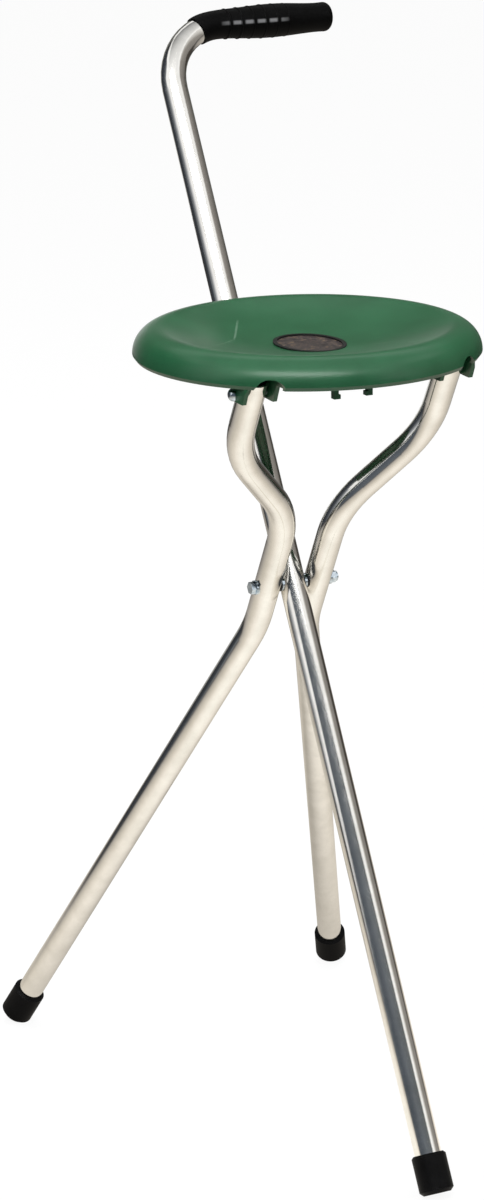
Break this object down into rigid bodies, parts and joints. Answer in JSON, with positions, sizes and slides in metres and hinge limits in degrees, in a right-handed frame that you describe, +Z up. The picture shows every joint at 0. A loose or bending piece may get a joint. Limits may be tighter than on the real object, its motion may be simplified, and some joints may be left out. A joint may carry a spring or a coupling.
{
  "type": "walking stick seat",
  "caption": "Folding walking stick with a round dished seat on bent tube legs, a sideways handle with a rubber grip, and rubber ferrules.",
  "frame": {"origin": "on the floor straight below the bolt that joins the stick and the legs", "axes": "+Z up, -Y towards the stick's foot (the front), +X towards the handle"},
  "size_m": [0.2994, 0.4518, 0.7758],
  "materials": {
    "polished_aluminium": "polished",
    "black_rubber": "satin",
    "zinc_steel": "bluish zinc plate",
    "nylon": "matte",
    "dark_nylon": "matte",
    "green_plastic": "satin moulded",
    "badge_black": "gloss",
    "badge_brown": "satin"
  },
  "bodies": {
    "stick": {"stick_tube": "polished_aluminium", "handle_grip": "black_rubber", "stick_ferrule": "black_rubber", "stick_ferrule_insert": "zinc_steel", "slider_stop_pin": "polished_aluminium", "pivot_bolt": "zinc_steel", "pivot_nut": "zinc_steel", "nut_nylon_ring": "nylon", "stick_saddle_washers": "zinc_steel"},
    "legs": {"left_leg_tube": "polished_aluminium", "right_leg_tube": "polished_aluminium", "left_leg_ferrule": "black_rubber", "right_leg_ferrule": "black_rubber", "leg_ferrule_inserts": "zinc_steel", "leg_inner_saddle_washers": "dark_nylon", "leg_outer_saddle_washers": "zinc_steel"},
    "seat": {"seat_shell": "green_plastic", "badge_ring": "badge_black", "badge_plate": "badge_brown", "left_hinge_pin": "zinc_steel", "right_hinge_pin": "zinc_steel", "hinge_pin_retainers": "zinc_steel"},
    "slider": {"rear_slider": "dark_nylon"}
  },
  "joints": [
    {"name": "leg_fold", "type": "hinge", "parent": "stick", "child": "legs", "pos_m": [0, 0, 0.39083], "axis": [-1, 0, 0], "range_deg": [0, 56.5]},
    {"name": "seat_fold", "type": "hinge", "parent": "legs", "child": "seat", "pos_m": [0, -0.09298, 0.55687], "axis": [1, 0, 0], "range_deg": [0, 113]},
    {"name": "slider_swivel", "type": "hinge", "parent": "seat", "child": "slider", "pos_m": [0, 0.09717, 0.56434], "axis": [-1, 0, 0], "range_deg": [0, 56.5]}
  ],
  "couplings": [
    {"joint": "seat_fold", "follows": "leg_fold", "ratio": 2},
    {"joint": "slider_swivel", "follows": "leg_fold", "ratio": 1}
  ]
}
